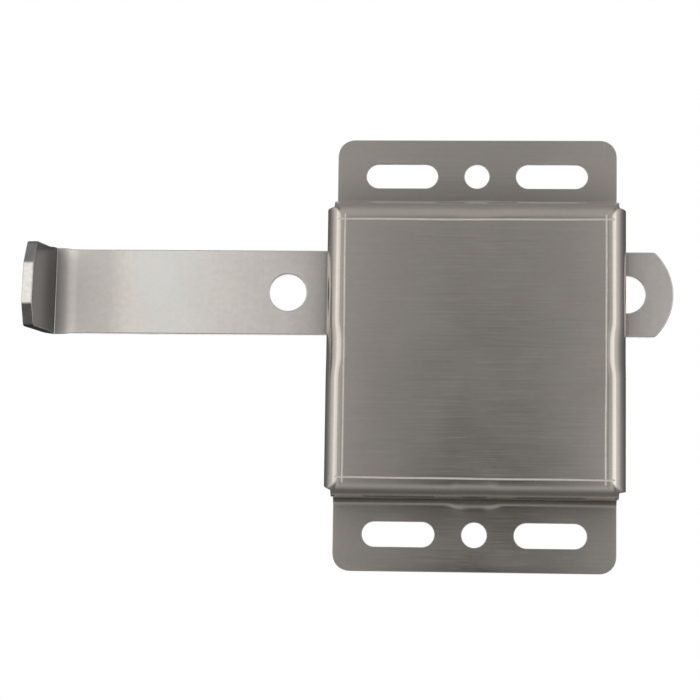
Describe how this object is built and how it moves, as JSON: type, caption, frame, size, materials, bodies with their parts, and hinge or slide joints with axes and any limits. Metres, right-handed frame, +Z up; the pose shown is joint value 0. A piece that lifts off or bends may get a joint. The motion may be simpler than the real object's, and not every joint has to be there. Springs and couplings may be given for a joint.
{
  "type": "slide bolt latch",
  "caption": "Flat slide bolt with thumb tab and padlock holes in a folded steel housing with slotted flanges, held open or closed by a toggle spring.",
  "frame": {"origin": "centre of the six mounting holes, on the door's surface", "axes": "+X the way the bolt closes, +Z up with the bolt in the upper half of the housing, +Y into the door"},
  "size_m": [0.1909, 0.026, 0.13],
  "materials": {
    "panel_steel": "brushed along X",
    "bolt_steel": "fine brushed across the bar",
    "pin_steel": "turned, satin",
    "spring_steel": "drawn wire, satin"
  },
  "bodies": {
    "housing": {"housing": "panel_steel", "spring_anchor_stud": "pin_steel", "spring_retainer": "pin_steel"},
    "bolt": {"slide_bolt": "bolt_steel", "spring_drive_pin": "pin_steel", "open_stop_pin": "pin_steel", "closed_stop_pin": "pin_steel"},
    "spring": {"toggle_spring": "spring_steel"}
  },
  "joints": [
    {"name": "bolt_slide", "type": "slide", "parent": "housing", "child": "bolt", "axis": [1, 0, 0], "range_m": [0, 0.0508]},
    {"name": "spring_swing", "type": "hinge", "parent": "housing", "child": "spring", "pos_m": [0, -0.0132, -0.032], "axis": [0, 1, 0], "range_deg": [0, 54.3], "deforming": ["toggle_spring"]}
  ],
  "couplings": [
    {"joint": "spring_swing", "follows": "bolt_slide", "rad_per_m": 18.632}
  ]
}
